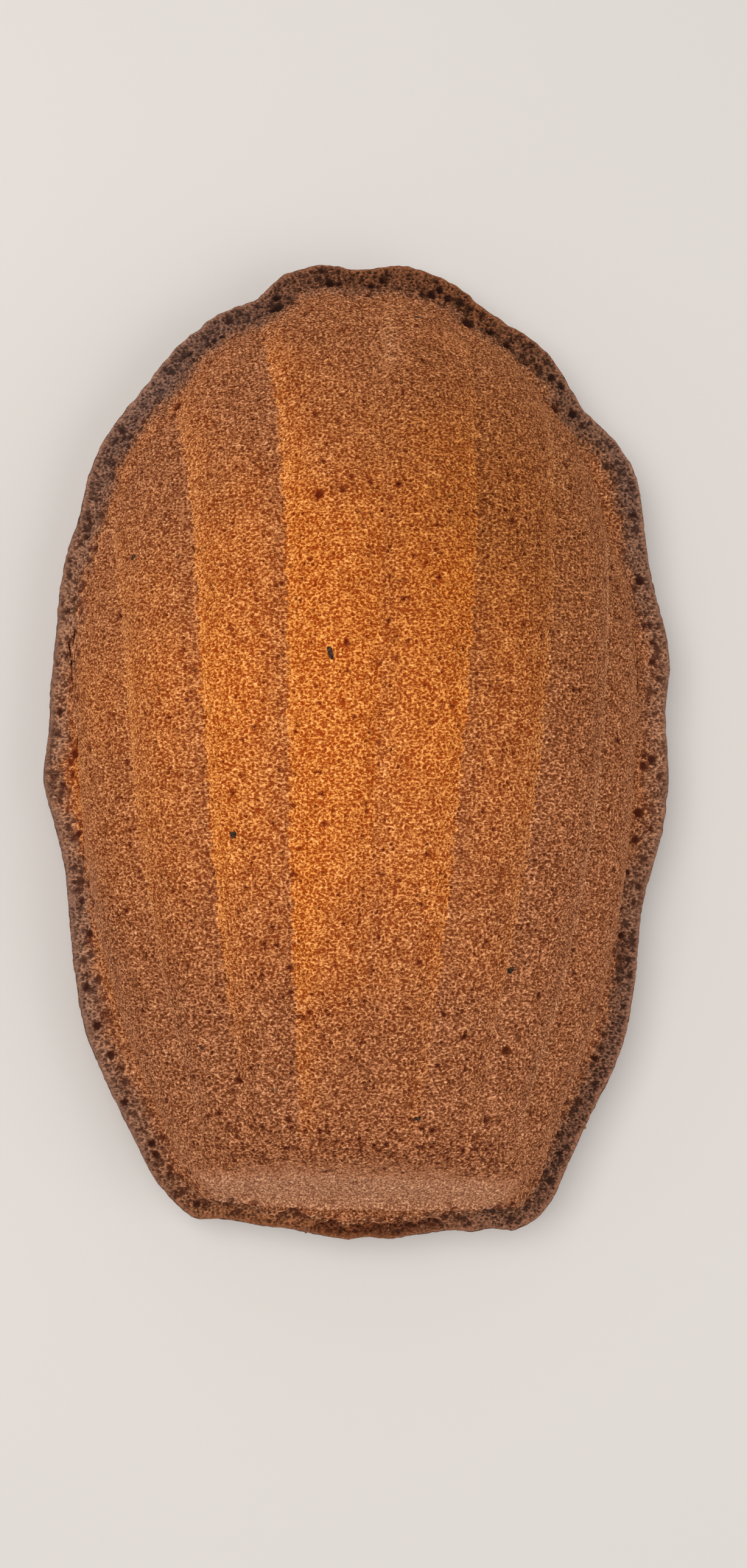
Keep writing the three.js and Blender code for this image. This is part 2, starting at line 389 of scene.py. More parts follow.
sheet_u, sheet_v = np.meshgrid(map_lines(ROWS_ACROSS), map_lines(ROWS_ALONG))
sheet_points = top_point(sheet_u.ravel(), sheet_v.ravel())
top_sheet = new_mesh_object("top_sheet", sheet_points, grid_faces(*sheet_u.shape))
set_values(top_sheet, "map_u", sheet_u.ravel())
set_values(top_sheet, "map_v", sheet_v.ravel())
sheet_area = sum(f.area for f in top_sheet.data.polygons)
print("top surface in square cm:", round(sheet_area * 1e4, 1))

# %% A tree that scatters points
PORE_SPACING = 0.8 * MM
PORE_SEED = 7
TRIES_PER_AREA = 6.0e6


def plug(tree, socket, value):
    """Links an output or a node's first output to a socket, or sets the socket to a plain value."""
    if isinstance(value, bpy.types.Node):
        value = value.outputs[0]
    if isinstance(value, bpy.types.NodeSocket):
        tree.links.new(value, socket)
    else:
        socket.default_value = value


def add_node(tree, kind, inputs=None, **settings):
    """Adds a node: first its settings, then what goes into it."""
    node = tree.nodes.new(kind)
    for name, value in settings.items():
        setattr(node, name, value)
    for name, value in (inputs or {}).items():
        plug(tree, node.inputs[name], value)
    return node


def new_tree(name, sizes):
    """A Geometry Nodes tree with named number inputs, and the sockets that give them."""
    tree = bpy.data.node_groups.new(name, "GeometryNodeTree")
    tree.interface.new_socket("Geometry", in_out="INPUT", socket_type="NodeSocketGeometry")
    for size_name, value in sizes.items():
        kind = "NodeSocketInt" if isinstance(value, int) else "NodeSocketFloat"
        socket = tree.interface.new_socket(size_name, in_out="INPUT", socket_type=kind)
        socket.default_value = value
    tree.interface.new_socket("Geometry", in_out="OUTPUT", socket_type="NodeSocketGeometry")
    return tree, tree.nodes.new("NodeGroupInput").outputs


def finish_tree(tree, geometry, material):
    """Ends a tree in real mesh with its material."""
    real = add_node(tree, "GeometryNodeRealizeInstances", {"Geometry": geometry})
    painted = add_node(tree, "GeometryNodeSetMaterial", {"Geometry": real, "Material": material})
    add_node(tree, "NodeGroupOutput", {"Geometry": painted})
    return tree


def run_tree(piece, tree, sizes):
    """Runs a tree on a piece once and gives the plain mesh that it makes."""
    modifier = piece.modifiers.new(tree.name, "NODES")
    modifier.node_group = tree
    for item in tree.interface.items_tree:
        if item.in_out == "INPUT" and item.name in sizes:
            modifier[item.identifier] = sizes[item.name]
    evaluated = piece.evaluated_get(bpy.context.evaluated_depsgraph_get())
    mesh = bpy.data.meshes.new_from_object(evaluated)
    piece.modifiers.remove(modifier)
    return mesh


def scatter_tree(material):
    tree, given = new_tree("scatter_pores", {"Spacing": 1.0 * MM, "Tries": 1.0e6, "Seed": 0})
    points = add_node(tree, "GeometryNodeDistributePointsOnFaces", {
        "Mesh": given["Geometry"], "Distance Min": given["Spacing"], "Density Max": given["Tries"],
        "Seed": given["Seed"],
    }, distribute_method="POISSON")
    vertices = add_node(tree, "GeometryNodePointsToVertices", {"Points": points})
    return finish_tree(tree, vertices, material)


def values_of(mesh, name):
    values = np.zeros(len(mesh.vertices), np.float32)
    mesh.attributes[name].data.foreach_get("value", values)
    return values.astype(float)


def scattered(sheet, spacing, tries, seed):
    return run_tree(sheet, pore_tree, {"Spacing": spacing, "Tries": tries, "Seed": seed})


crust_material = bpy.data.materials.new("baked_crust")
pore_tree = scatter_tree(crust_material)
pore_mesh = scattered(top_sheet, PORE_SPACING, TRIES_PER_AREA, PORE_SEED)
pore_u, pore_v = values_of(pore_mesh, "map_u"), values_of(pore_mesh, "map_v")
print("pores scattered:", len(pore_u))

# %% The rim's outer line, in even steps
EDGE_SPACING = 1.0 * MM
EDGE_SAMPLES = 8000
CLEAR_OF_EDGE = 0.55 * MM
MAP_SCALE = np.array([85.0, 120.0])



def rim_edge_map(place):
    """The point of the map on the rim's outer line."""
    return (1 + RIM_MARGIN) * np.array(border_map(place))


fine_places = np.linspace(0, 2 * MAP_SIDES, EDGE_SAMPLES)
fine_edge = top_point(*rim_edge_map(fine_places[:-1]))
fine_step = np.linalg.norm(np.roll(fine_edge, -1, 0) - fine_edge, axis=1)
fine_length = np.concatenate([[0], np.cumsum(fine_step)])
EDGE_COUNT = int(fine_length[-1] / EDGE_SPACING)
edge_places = np.interp(np.arange(EDGE_COUNT) * fine_length[-1] / EDGE_COUNT, fine_length, fine_places)
edge_u, edge_v = rim_edge_map(edge_places)
edge_top = top_point(edge_u, edge_v)


def kd_tree(points):
    tree = KDTree(len(points))
    for index, point in enumerate(points):
        tree.insert(point, index)
    tree.balance()
    return tree


def clear_of(points, others, distance):
    tree = kd_tree(others)
    return np.array([tree.find(p)[2] > distance for p in points])


pore_points = top_point(pore_u, pore_v)
kept = clear_of(pore_points, edge_top, CLEAR_OF_EDGE)
pore_u, pore_v = pore_u[kept], pore_v[kept]
print("rim edge steps:", EDGE_COUNT, "pores kept:", len(pore_u))

# %% [markdown]
# ## From points to a foam
# Joining the points into even triangles is Delaunay's job, done on the flat map. The stretch between map
# and cake is then evened out by turning edges that run the long way. Each triangle's middle is where
# three pores meet, so the middles are the tops of the walls. Swapping each edge between two pores for the
# edge between two middles gives every pore a ring of wall round it. Pressed in at its middle, a pore
# is a real pit, at a cost of only six triangles.

# %% Joining points into triangles
DELAUNAY_GAP = 1e-7
TURNING_ROUNDS = 3


def triangulate(flat_points, loop_count):
    """Triangles between flat points, of which the last loop_count run round the border."""
    count = len(flat_points)
    first = count - loop_count
    loop = [(first + i, first + (i + 1) % loop_count) for i in range(loop_count)]
    out = delaunay_2d_cdt([Vector(p) for p in flat_points], loop, [], 1, DELAUNAY_GAP)
    if len(out[0]) != count:
        raise ValueError("the triangulation merged or added points")
    where = np.array([source[0] for source in out[3]])
    return where[np.array(out[2])]


def even_triangles(points, triangles):
    """Turns edges until no two neighbouring triangles would look better the other way."""
    work = bmesh.new()
    vertices = [work.verts.new(p) for p in points]
    for triangle in triangles:
        work.faces.new([vertices[i] for i in triangle])
    for _ in range(TURNING_ROUNDS):
        bmesh.ops.beautify_fill(work, faces=work.faces[:], edges=work.edges[:], method="AREA")
    work.verts.index_update()
    result = np.array([[v.index for v in face.verts] for face in work.faces])
    work.free()
    return result


all_u = np.concatenate([pore_u, edge_u])
all_v = np.concatenate([pore_v, edge_v])
top_points = top_point(all_u, all_v)
flat = np.stack([all_u, all_v], -1) * MAP_SCALE
triangles = even_triangles(top_points, triangulate(flat, EDGE_COUNT))
print("triangles between pores:", len(triangles))

# %% Walls between the pores


def foam_faces(triangles, count):
    """Faces of the foam: pores are vertices 0 to count, and triangle i's middle is count + i."""
    start = triangles.ravel()
    end = np.roll(triangles, -1, axis=1).ravel()
    owner = np.repeat(np.arange(len(triangles)), 3)
    key = start.astype(np.int64) * count + end
    back = end.astype(np.int64) * count + start
    order = np.argsort(key)
    found = np.searchsorted(key[order], back)
    found = np.minimum(found, len(key) - 1)
    twin = order[found]
    paired = key[twin] == back
    inner = np.stack([start[paired], count + owner[twin[paired]], count + owner[paired]], -1)
    border = np.stack([start[~paired], end[~paired], count + owner[~paired]], -1)
    return np.concatenate([inner, border])


pore_count = len(all_u)
middles = top_points[triangles].mean(1)
foam_points = np.concatenate([top_points, middles])
foam = foam_faces(triangles, pore_count)
foam_u, foam_v = (np.concatenate([values, values[triangles].mean(1)]) for values in (all_u, all_v))
point_number = np.arange(len(foam_points))
is_pore = point_number < pore_count - EDGE_COUNT
is_edge = ~is_pore & (point_number < pore_count)
print("foam triangles:", len(foam))

# %% [markdown]
# ## Relief of the crumb
# Every pore gets its own depth. Most are shallow dimples, a few are deep. Here and there a bubble was
# larger and took its neighbours' walls with it. Where the wall meets the rim the batter was thin, and
# large bubbles burst there one beside the other. On the rim of the narrow end some batter was missing,
# which left a long hollow with an uneven floor. The end wall lay against the flat end of the mould and is
# almost smooth. Bubbles, hollow and deep pores are also marked, because the material paints shade into
# them.

# %% Normals of the smooth top
END_WALL_SPAN = (0.040, 0.068)
END_WALL_WAVER = 0.009
END_WALL_CORNERS = (3.1, 3.8)
NO_LENGTH = 1e-15


def vertex_normals(points, faces):
    corners = points[faces]
    face_normals = np.cross(corners[:, 1] - corners[:, 0], corners[:, 2] - corners[:, 0])
    normals = np.zeros_like(points)
    for k in range(3):
        for axis in range(3):
            normals[:, axis] += np.bincount(faces[:, k], face_normals[:, axis], len(points))
    return normals / np.maximum(np.linalg.norm(normals, axis=1, keepdims=True), NO_LENGTH)


foam_normals = vertex_normals(foam_points, foam)
foam_rib, foam_along = rib_of(np.clip(foam_u, -1, 1)), along_of(np.clip(foam_v, -1, 1))
foam_rim = rim_share_of(foam_u, foam_v)
wavering = foam_along + END_WALL_WAVER * wave(foam_points, 3 * MM, seed=18)
end_wall = (1 - smoothstep(wavering, *END_WALL_SPAN)) * (foam_rim == 0)
end_wall *= 1 - smoothstep(np.abs(foam_rib), *END_WALL_CORNERS)
print("normals:", foam_normals.shape, "least upward:", round(float(foam_normals[:, 2].min()), 2))

# %% How far every point lies from the rim's outer line
RAGGED = [(3, 1.2, 4), (9, 0.8, 6)]  # length and height in mm, and seed
FINE_RAGGED = [(1.3, 0.7, 12)]


def waves(points, rows):
    """Waves laid over one another, from rows of length and height in mm, and seed."""
    return sum(height * MM * wave(points, length * MM, seed) for length, height, seed in rows)


line_tree = kd_tree(np.column_stack([outline + CENTRING, np.zeros(LOOP_STEPS)]))
from_edge = np.array([line_tree.find((x, y, 0))[2] for x, y, _ in foam_points])
ragged, fine_ragged = waves(foam_points, RAGGED), waves(foam_points, FINE_RAGGED)
print("deepest inside in mm:", in_mm(from_edge.max()))

# %% Depth of each pore
RELIEF_SEED = 11
PORE_DEPTH = 0.48 * MM
PORE_VARIETY = 0.3
DEEPEST_PORE = 1.1 * MM
CALM_WALL_SHARE = 0.45
WALL_UNEVEN = 0.12 * MM
OPEN_WALL_SHARE = 0.12
OPEN_WALL_DEPTH = 0.6
LUMPS = [(3.2, 0.08, 0), (9.0, 0.13, 1)]  # length and height in mm, and seed
CALM_LUMPS = 0.5
RIM_LUMPS = [(2.4, 0.35, 5), (6.0, 0.45, 6)]
RIM_LUMPS_GROW = (0, 0.25)

draw = np.random.default_rng(RELIEF_SEED)
varied = PORE_DEPTH * np.exp(PORE_VARIETY * draw.standard_normal(len(is_pore)))
is_open = draw.random(len(is_pore)) < OPEN_WALL_SHARE
opened = np.where(is_open, OPEN_WALL_DEPTH * varied, WALL_UNEVEN * draw.random(len(is_pore)))
press = np.where(is_pore, np.minimum(varied, DEEPEST_PORE), opened)
press *= 1 - (1 - CALM_WALL_SHARE) * end_wall
press[is_edge] = 0
out_on_rim = smoothstep(foam_rim, *RIM_LUMPS_GROW)
lump = waves(foam_points, LUMPS) * (1 - CALM_LUMPS * end_wall)
lump += waves(foam_points, RIM_LUMPS) * out_on_rim
print("mean pore depth in mm:", in_mm(press[is_pore].mean(), 2))

# %% Larger bubbles
BUBBLE_SEED = 23
BUBBLES_ALL_OVER = 0.018
MORE_BUBBLES_AT_NARROW_END = 0.9
TOWARDS_NARROW_END = (10 * MM, 75 * MM)
BUBBLES_ABOVE_END_WALL = 0.3
ABOVE_END_WALL, ABOVE_END_WALL_REACH, ABOVE_END_WALL_RIBS = 0.085, 0.02, 3
BUBBLES_ON_RIM = 0.4
RIM_FOAM_STARTS, RIM_FOAM_STOPS = (1.4 * MM, 2.6 * MM), (5.0 * MM, 8.0 * MM)
RIM_FOAM_PATCHES = 0.6
BUBBLE_RADIUS, RADIUS_SPREAD = 0.45, 0.3
MORE_RADIUS_ON_RIM, RIM_RADIUS_SPREAD = 0.12, 0.4
BUBBLE_GAP = 0.82
BUBBLE_DEPTH = 0.7
# Painted shade inside the bubbles: full near the middle, weaker on the rim, varied from bubble to bubble.
DARK_WITHIN = 0.5
DARK_ON_DOME, DARK_ON_RIM, DARK_LARGEST, DARK_LEAST = 1.0, 0.58, 0.68, 0.5
DARK_RIM_SPAN = (6 * MM, 9 * MM)
LARGEST_BUBBLES = [  # x, y and radius in mm
    (63, -15.7, 1.3), (62.1, -21.9, 1.1), (60.3, -29.3, 0.9), (58.6, -33, 1.8), (58.7, -43.6, 1),
    (65.6, -19.6, 0.8), (64.2, 37.7, 1.2), (66.6, 27.7, 0.9), (65.2, 27.2, 0.8), (67.1, 23.3, 0.9),
    (66.4, -3.5, 1.2), (64.5, -5.1, 1.2), (66.7, 19, 0.9), (24.7, 96.8, 1.7), (30, 95, 1.2),
    (33.8, 92, 1.1), (44.2, 84.7, 1), (46.5, 82.9, 1), (44.9, 77.1, 1.3), (49, 76.4, 1.1),
    (62.7, 53, 1), (-19.3, 98.6, 1.8), (-19.2, 101.8, 1.1), (-7, 105.6, 1.2), (-5.2, 105.5, 1),
    (1.5, 102.3, 0.9), (2.5, 104.9, 1), (5.2, 106.4, 1), (18.3, 104.7, 1), (16.5, 103.4, 1.1),
    (20.2, 102.8, 1), (23.1, 101.7, 1.1), (-34.6, 90.3, 0.8), (-33.2, 90.8, 0.9), (-31.7, 91.7, 0.8),
    (-38.9, 88.2, 0.9), (-41.7, 74.6, 1.2), (-66.3, 19.5, 0.9), (-65.1, 14.5, 0.9), (-67.6, 7, 1),
    (-64.4, -2.5, 1.3), (-64.7, -7.1, 0.9), (-66.9, -9.2, 0.9), (-63.5, -20.2, 1), (-59.9, -35.6, 1.2),
    (-62.6, -35, 0.9), (-60.9, -42.2, 1), (-61.5, -53.9, 1), (-59.1, -62.5, 1.1), (-56.1, -68.9, 1),
    (-52.9, -79.3, 1), (-47.2, -88.5, 1), (-48.2, -87.5, 0.8), (-46.2, -90.8, 1), (-37.3, -101.8, 1),
    (45.3, -80.8, 0.8), (52.3, -71.3, 0.9), (43.8, -92.3, 0.9), (37.8, -98.1, 0.9), (-39.1, -94.1, 1),
    (-12.3, 48.5, 1.3), (27.2, -66.9, 1.1), (-7.3, 49.3, 0.9), (23.4, -81.5, 0.9), (9.3, -86.8, 0.8),
    (21.4, -87.8, 0.8), (-1.2, 51.3, 0.8), (-12.5, 67.3, 0.9), (-3.7, -87.1, 0.8), (44.4, 61, 0.9),
    (11.7, -86.7, 0.8), (-11.1, 56.1, 0.8),
]
painted_pit_shade_amount = np.zeros(len(foam_points))


def spaced(centres, radii, gap):
    """Leaves out each bubble that would cut deep into one before it."""
    chosen = []
    for number, centre in enumerate(centres):
        away = np.linalg.norm(foam_points[centres[chosen]] - foam_points[centre], axis=1)
        if np.all(away > gap * (radii[chosen] + radii[number])):
            chosen.append(number)
    return chosen


def open_bubbles(centres, radii, darkness):
    """Presses a round hollow at each centre, and marks how much painted shade its inside gets."""
    for centre, radius, dark in zip(centres, radii, darkness):
        for _, index, away in foam_tree.find_range(foam_points[centre], radius):
            inside = 1 - (away / radius) ** 2
            press[index] = max(press[index], BUBBLE_DEPTH * radius * math.sqrt(inside))
            painted_pit_shade_amount[index] = max(painted_pit_shade_amount[index], dark * min(1, inside / DARK_WITHIN))


def nearest_foam(rows):
    """The foam points nearest to the places x and y in mm that the rows start with."""
    x, y = foam_points[:, 0], foam_points[:, 1]
    return np.array([int(np.argmin((x - row[0] * MM) ** 2 + (y - row[1] * MM) ** 2)) for row in rows])


foam_tree = kd_tree(foam_points)
draw = np.random.default_rng(BUBBLE_SEED)
rim_foam = smoothstep(from_edge, *RIM_FOAM_STARTS) * (1 - smoothstep(from_edge + ragged, *RIM_FOAM_STOPS))
rim_foam *= RIM_FOAM_PATCHES + RIM_FOAM_PATCHES * wave(foam_points, 5 * MM, seed=15)
above_end = np.exp(-(((foam_along - ABOVE_END_WALL) / ABOVE_END_WALL_REACH) ** 2))
above_end *= np.abs(foam_rib) < ABOVE_END_WALL_RIBS
narrowing = smoothstep(-foam_points[:, 1], *TOWARDS_NARROW_END)
chance = BUBBLES_ALL_OVER * (1 - end_wall) * (1 + MORE_BUBBLES_AT_NARROW_END * narrowing)
chance += BUBBLES_ON_RIM * rim_foam + BUBBLES_ABOVE_END_WALL * above_end
bubbles = np.flatnonzero(is_pore & (draw.random(len(is_pore)) < chance))
draw.shuffle(bubbles)
radii = BUBBLE_RADIUS + RADIUS_SPREAD * draw.random(len(bubbles))
radii += rim_foam[bubbles] * (MORE_RADIUS_ON_RIM + RIM_RADIUS_SPREAD * draw.random(len(bubbles)))
largest = nearest_foam(LARGEST_BUBBLES)
bubbles = np.concatenate([largest, bubbles])
radii = np.concatenate([[radius * MM for *_, radius in LARGEST_BUBBLES], radii * MM])
chosen = spaced(bubbles, radii, BUBBLE_GAP)
near_rim = 1 - smoothstep(from_edge[bubbles], *DARK_RIM_SPAN)
darkness = DARK_ON_DOME + (DARK_ON_RIM - DARK_ON_DOME) * near_rim
darkness *= DARK_LEAST + (1 - DARK_LEAST) * draw.random(len(bubbles))
darkness[:len(largest)] = DARK_LARGEST
open_bubbles(bubbles[chosen], radii[chosen], darkness[chosen])
print("larger bubbles:", len(chosen), "deepest in mm:", in_mm(press.max(), 2))

# %% The hollow at the narrow end
HOLLOW_LEFT, HOLLOW_RIGHT = (-12.9 * MM, -9.9 * MM), (16.0 * MM, 19.0 * MM)
HOLLOW_OUTER, HOLLOW_INNER = (0.4 * MM, 1.3 * MM), (2.9 * MM, 3.8 * MM)
HOLLOW_RAGGED, HOLLOW_UNEVEN = 1.3, 1.2 * MM
HOLLOW_DEPTH = 2.3 * MM
HOLLOW_FLOOR, HOLLOW_FLOOR_WAVE = 0.75, 0.5
HOLLOW_DARKNESS, HOLLOW_DARK_WAVE, HOLLOW_DARK_SPAN = 0.56, 0.4, (0.2, 0.9)


def band(value, rise, fall):
    """1 between a rise and a fall, and 0 outside them."""
    return smoothstep(value, *rise) * (1 - smoothstep(value, *fall))


pore_press = press.copy()
uneven = HOLLOW_RAGGED * fine_ragged + HOLLOW_UNEVEN * wave(foam_points, 3.2 * MM, seed=21)
hollow = band(foam_points[:, 0] + fine_ragged, HOLLOW_LEFT, HOLLOW_RIGHT) * (foam_points[:, 1] < 0)
hollow *= smoothstep(from_edge, *HOLLOW_OUTER) * (1 - smoothstep(from_edge + uneven, *HOLLOW_INNER))
hollow_floor = HOLLOW_FLOOR + HOLLOW_FLOOR_WAVE * wave(foam_points, 1.6 * MM, seed=17)
press = np.maximum(press, HOLLOW_DEPTH * hollow * hollow_floor)
press[is_edge] = 0
# Painted shade on the hollow's floor, patchy.
hollow_dark = hollow + HOLLOW_DARK_WAVE * wave(foam_points, 1.2 * MM, seed=19)
painted_pit_shade_amount = np.maximum(painted_pit_shade_amount, HOLLOW_DARKNESS * smoothstep(hollow_dark, *HOLLOW_DARK_SPAN))
print("points in the hollow:", int((hollow > 0.5).sum()))

# %% The deepest pores get painted shade
DARK_PORES_FROM = (0.6 * MM, 0.95 * MM)
DARK_PORE, DARK_PORE_LOST_ON_RIM = 0.6, 0.5
deep_pore = DARK_PORE * smoothstep(press, *DARK_PORES_FROM) * is_pore * (1 - end_wall)
painted_pit_shade_amount = np.maximum(painted_pit_shade_amount, deep_pore * (1 - DARK_PORE_LOST_ON_RIM * out_on_rim))
print("share of dark pores:", round(float((deep_pore > 0.3).sum() / is_pore.sum()), 3))

# %% Stand the foam up
BELOW_TOP = 0.01 * MM
FULL_PORE = 0.55 * MM
PORE_LIMITS = (0, 1.3)
foam_shaped = foam_points + foam_normals * (lump - press)[:, None]
foam_shaped[:, 2] = np.minimum(foam_shaped[:, 2], CAD_BOX[1][2] - BELOW_TOP)
pore_value = np.clip(pore_press / FULL_PORE, *PORE_LIMITS)
print("foam box in mm:", in_mm(foam_shaped.max(0) - foam_shaped.min(0)))

# %% [markdown]
# ## Edge and underside
# Below the rim's outer line its edge rounds in, and the hump that rose in the oven swells down to the
# small flat spot on which the cake lies. The hump baked free in the air, so it is a closed skin with low,
# wide bumps and a few creases. Its points are scattered by the same tree, only further apart.

# %% Edge rings
HUMP_TOP = RIM_TOP - RIM_THICKNESS
EDGE_PROFILE = [(0.2, 15.3), (0.0, 14.4), (0.3, 13.2), (1.2, 12.4)]  # inset and height in mm
EDGE_UNEVEN = 0.22 * MM
EDGE_SEED = 30
FLAT_HALF_WIDTH = 28 * MM
FLAT_HALF_LENGTH = 48 * MM

edge_outline = outline_at(edge_places)
edge_inwards = (edge_top[:, :2] - CENTRING - edge_outline) / RIM_EDGE_ROUND


def edge_ring(inset, height):
    ring = np.zeros((EDGE_COUNT, 3))
    ring[:, :2] = edge_outline + edge_inwards * inset + CENTRING
    ring[:, 2] = height
    return ring


edge_rings = [edge_ring(inset * MM, height * MM) for inset, height in EDGE_PROFILE]
for number, ring in enumerate(edge_rings[:-1]):
    bulge = EDGE_UNEVEN * (1 + wave(ring, 1.1 * MM, EDGE_SEED + number))
    ring[:, :2] += edge_inwards * bulge[:, None]
print("edge rings:", len(edge_rings))

# %% Hump
HUMP_RINGS = 24
FLAT_RINGS = [0.75, 0.5, 0.25, 0.04]
HUMP_SPACING = 2.0 * MM
HUMP_TRIES = 1.0e6
HUMP_SEED = 3
HUMP_CLEAR = 1.1 * MM
COARSE_STEP = 3


def hump_point(ring, inward):
    """Where a point of the lowest edge ring comes to, part of the way to the flat spot's oval."""
    bearing = np.arctan2(ring[:, 1] * FLAT_HALF_WIDTH, ring[:, 0] * FLAT_HALF_LENGTH)
    oval = np.stack([FLAT_HALF_WIDTH * np.cos(bearing), FLAT_HALF_LENGTH * np.sin(bearing)], -1)
    plan = ring[:, :2] + (oval - ring[:, :2]) * inward
    height = HUMP_TOP * (1 - math.sin(inward * math.pi / 2))
    return np.column_stack([plan, np.full(len(ring), height)])


coarse_ring = edge_rings[-1][::COARSE_STEP]
hump_rows = [hump_point(coarse_ring, k / HUMP_RINGS) for k in range(HUMP_RINGS + 1)]
hump_rows += [hump_rows[-1] * (share, share, 1) for share in FLAT_RINGS]
hump_rows = [np.vstack([row, row[:1]]) for row in hump_rows]
hump_faces = grid_faces(len(hump_rows), len(hump_rows[0]))
hump_sheet = new_mesh_object("hump_sheet", np.concatenate(hump_rows), hump_faces)
hump_mesh = scattered(hump_sheet, HUMP_SPACING, HUMP_TRIES, HUMP_SEED)
hump_points = np.array([v.co for v in hump_mesh.vertices])
hump_points = hump_points[clear_of(hump_points, edge_rings[-1], HUMP_CLEAR)]
under_points = np.concatenate([hump_points, edge_rings[-1]])
under_flat = under_points[:, :2] / MM
under_triangles = even_triangles(under_points, triangulate(under_flat, EDGE_COUNT))
under_normals = -vertex_normals(under_points, under_triangles)
print("underside points:", len(hump_points), "triangles:", len(under_triangles))

# %% Bumps and creases of the hump
HUMP_BUMPS = [(22, 1.0, 31), (8, 0.5, 17), (4.5, 0.25, 13.5)]  # length and height in mm, and seed
BUMPS_GROW = (0.2 * MM, 5 * MM)
CREASE_LENGTH = 16 * MM
CREASE_WIDTH = (0.01, 0.09)
CREASE_DEPTH = 1.1 * MM
lift = smoothstep(under_points[:, 2], *BUMPS_GROW)
crease = 1 - smoothstep(np.abs(wave(under_points, CREASE_LENGTH, seed=31)), *CREASE_WIDTH)
bump = waves(under_points, HUMP_BUMPS) - CREASE_DEPTH * crease
inner_part = np.arange(len(under_points)) < len(hump_points)
under_shaped = under_points + under_normals * (bump * lift * inner_part)[:, None]
under_shaped[:, 2] = np.maximum(under_shaped[:, 2], 0)
print("hump lowest point in mm:", in_mm(under_shaped[:, 2].min(), 3))

# %% [markdown]
# ## One closed skin
# Foam, edge rings and hump share their border points, so they are joined by index and no seam is left.
# Numbers kept on the points tell the material where it is: how deep in a pore, how far out on the rim,
# on which side of a flute, and how browned, burnt or grey the oven left it there. Some of them also say
# where light, sheen and shade are painted on: the browning is partly painted shade, and the flutes, the
# bubbles and the hollow carry painted light and shade.

# %% Join everything by index
foam_count = len(foam_points)
first_edge = pore_count - EDGE_COUNT
ring_starts = [first_edge] + [foam_count + k * EDGE_COUNT for k in range(len(edge_rings))]
hump_start = foam_count + len(edge_rings) * EDGE_COUNT
step = np.arange(EDGE_COUNT)
following = (step + 1) % EDGE_COUNT
strips = []
for upper, lower in zip(ring_starts, ring_starts[1:]):
    strips.append(np.stack([upper + step, lower + step, lower + following], -1))
    strips.append(np.stack([upper + step, lower + following, upper + following], -1))
under_index = np.concatenate([hump_start + np.arange(len(hump_points)), ring_starts[-1] + step])
skin_points = np.concatenate([foam_shaped, *edge_rings, under_shaped[:len(hump_points)]])
skin_faces = np.concatenate([foam, *strips, under_index[under_triangles][:, ::-1]])
print("skin points:", len(skin_points), "triangles:", len(skin_faces))

# %% Check that the skin is closed and faces outwards
sides = np.concatenate([skin_faces, np.roll(skin_faces, -1, 1)]).reshape(2, -1)
forward = sides[0].astype(np.int64) * len(skin_points) + sides[1]
backward = sides[1].astype(np.int64) * len(skin_points) + sides[0]
a, b, c = (skin_points[skin_faces[:, k]] for k in range(3))
volume = float(np.einsum("ij,ij->i", a, np.cross(b, c)).sum() / 6)
print("open edges:", len(np.setdiff1d(forward, backward)), "volume in cubic cm:", round(volume * 1e6, 1))

# %% Where the colours change
FLUTES_START, FLUTES_STOP = (0.07, 0.12), (0.94, 0.99)
RIB_WAVER = 0.035
RIB_FLANK = (0.5, 0.95)
# Painted sheen and shade: a greyer, darker band just outside each valley, where the rib's inner flank
# faces up, and more of it towards the narrow end.
SHEEN_AND_SHADE_WIDTHS = (0.36, 0.18)
SHEEN_AND_SHADE_BY_VALLEY = [0.06, 0.45, 0.42, 0.4], [0.28, 0.5, 0.85, 0.5]  # on the left and on the right
SHEEN_AND_SHADE_AT_NARROW_END, SHEEN_AND_SHADE_SPAN, LESS_SHEEN_AND_SHADE_ON_FLANKS = 0.45, (45 * MM, 80 * MM), 0.5
# Painted light on each rib's outer flank, which faces the light coming from the sides.
FLANK_LIGHT_BY_RIB = [0.2, 0.15, 0.08, 0.04], [0.12, 0.12, 0.1, 0.04]
CREST_LINE = (0.84, 0.95)
# A painted highlight: a paler line along each rib's outer edge.
CREST_HIGHLIGHT = [0.12, 0.16, 0.18, 0.15], [0.12, 0.18, 0.26, 0.25]
# A painted sheen: a greyer, paler spot near the wide end.
SHEEN_SPOT, SHEEN_SPOT_REACH = (5.0 * MM, 86.0 * MM), (2.2 * MM, 9.0 * MM)
SHEEN_SPOT_GREY, SHEEN_SPOT_PALENESS = 0.9, 0.35
# A patch on the upper right is made darker.
DARKER_PATCH_AT, DARKER_PATCH_REACH = (24 * MM, 46 * MM), (30 * MM, 46 * MM)
# Browning that is partly painted shade: more on the outer ribs, and growing away from a spot left of the
# crown's middle.
RIB_BROWNING_AND_SHADE = [0.0, 0.15, 0.28, 0.27], [0.0, 0.08, 0.24, 0.3]
BRIGHTEST_AND_LEAST_BROWNED, BROWNING_AND_SHADE_REACH, BROWNING_AND_SHADE_SPEED = (-20 * MM, 4 * MM), (62 * MM, 70 * MM), 1.2
LIP_SPAN, LIP_RAGGED = (0.8 * MM, 2.2 * MM), 0.4
RIM_TONE_SHARE = (0.25, 1.0)
BURNT_SHARE = (0.45, 0.9)
GREY_SHARE = (0.35, 0.75)
GREY_STRENGTH, GREY_EDGE = 0.8, 0.3
HUMP_BURNT, HUMP_BURNT_SPAN = 0.5, (6 * MM, 12 * MM)
UNDER_BROWNED, MORE_BROWNED, MORE_BROWNED_SPAN = 0.3, 0.45, (2 * MM, 11 * MM)
# Creases get painted shade: browner and with more pore colour.
UNDER_PATCHES, CREASE_SHADE = 0.6, 0.35
UNDER_PORE, CREASE_PORE = 0.25, 0.5
EDGE_PORE_SEED = 5
PIT_SPAN = (0.1, 0.9)
UNDER_ON_EDGE, UNDER_LOST_TO_BROWNING = 0.15, 0.75
